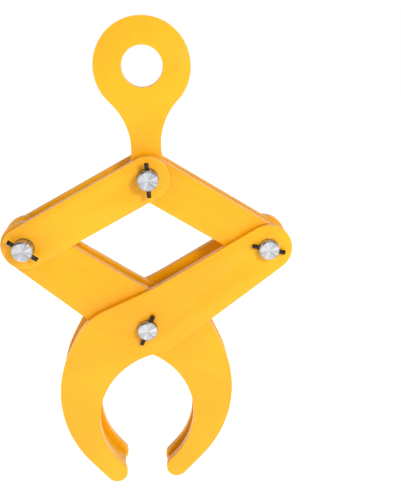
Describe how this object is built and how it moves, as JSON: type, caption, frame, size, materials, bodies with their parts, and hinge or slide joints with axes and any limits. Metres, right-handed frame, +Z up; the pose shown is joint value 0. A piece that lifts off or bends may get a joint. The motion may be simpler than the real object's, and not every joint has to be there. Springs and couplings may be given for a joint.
{
  "type": "scissor lifting clamp",
  "caption": "Yellow scissor lifting clamp: a lifting eye over a four-bar kite of paired plates that closes two C-shaped claws with jaw pads on round stock or pipe.",
  "frame": {"origin": "centre of the lifting eye's hole, midway through the plate", "axes": "+Z up along the line that the clamp hangs on, +X to the right seen from the spring pins, +Y to the back, where the pin heads are"},
  "size_m": [0.3179, 0.077, 0.5352],
  "materials": {
    "yellow_paint": "glossy yellow enamel over sawn and flame-cut steel plate",
    "bright_steel": "turned bright steel with radial face marks",
    "dark_steel": "black oxide spring steel"
  },
  "bodies": {
    "eye": {"lifting_eye": "yellow_paint"},
    "top_pin_set": {"top_pin": "bright_steel", "top_spring_pin": "dark_steel"},
    "left_link": {"left_link_front": "yellow_paint", "left_link_back": "yellow_paint"},
    "right_link": {"right_link_front": "yellow_paint", "right_link_back": "yellow_paint", "right_bush": "yellow_paint"},
    "left_arm": {"left_arm_front": "yellow_paint", "left_arm_back": "yellow_paint", "left_arm_jaw_pad": "yellow_paint", "left_bush": "yellow_paint"},
    "right_arm": {"right_arm_front": "yellow_paint", "right_arm_back": "yellow_paint", "right_arm_jaw_pad": "yellow_paint", "centre_bush": "yellow_paint"},
    "left_pin_set": {"left_pin": "bright_steel", "left_spring_pin": "dark_steel"},
    "right_pin_set": {"right_pin": "bright_steel", "right_spring_pin": "dark_steel"},
    "centre_pin_set": {"centre_pin": "bright_steel", "centre_spring_pin": "dark_steel"}
  },
  "joints": [
    {"name": "eye_swing", "type": "hinge", "parent": "eye", "child": "left_link", "pos_m": [0.00597, 0, -0.11384], "axis": [0, 1, 0], "range_deg": [-55, 55]},
    {"name": "fold", "type": "hinge", "parent": "left_link", "child": "right_link", "pos_m": [0.00597, 0, -0.11384], "axis": [0, 1, 0], "range_deg": [-28, 20]},
    {"name": "top_pin_spin", "type": "hinge", "parent": "left_link", "child": "top_pin_set", "pos_m": [0.00597, 0, -0.11384], "axis": [0, 1, 0], "continuous": true},
    {"name": "left_arm_pivot", "type": "hinge", "parent": "left_link", "child": "left_arm", "pos_m": [-0.12653, 0, -0.19084], "axis": [0, 1, 0], "range_deg": [-25.5, 18]},
    {"name": "right_arm_pivot", "type": "hinge", "parent": "right_link", "child": "right_arm", "pos_m": [0.13847, 0, -0.19084], "axis": [0, 1, 0], "range_deg": [-18, 25.5]},
    {"name": "left_pin_spin", "type": "hinge", "parent": "left_link", "child": "left_pin_set", "pos_m": [-0.12653, 0, -0.19084], "axis": [0, 1, 0], "continuous": true},
    {"name": "right_pin_spin", "type": "hinge", "parent": "right_arm", "child": "right_pin_set", "pos_m": [0.13847, 0, -0.19084], "axis": [0, 1, 0], "continuous": true},
    {"name": "centre_pin_spin", "type": "hinge", "parent": "right_arm", "child": "centre_pin_set", "pos_m": [0.00597, 0, -0.28584], "axis": [0, 1, 0], "continuous": true}
  ],
  "couplings": [
    {"joint": "left_arm_pivot", "follows": "fold", "ratio": 0.895},
    {"joint": "right_arm_pivot", "follows": "fold", "ratio": -0.895}
  ]
}
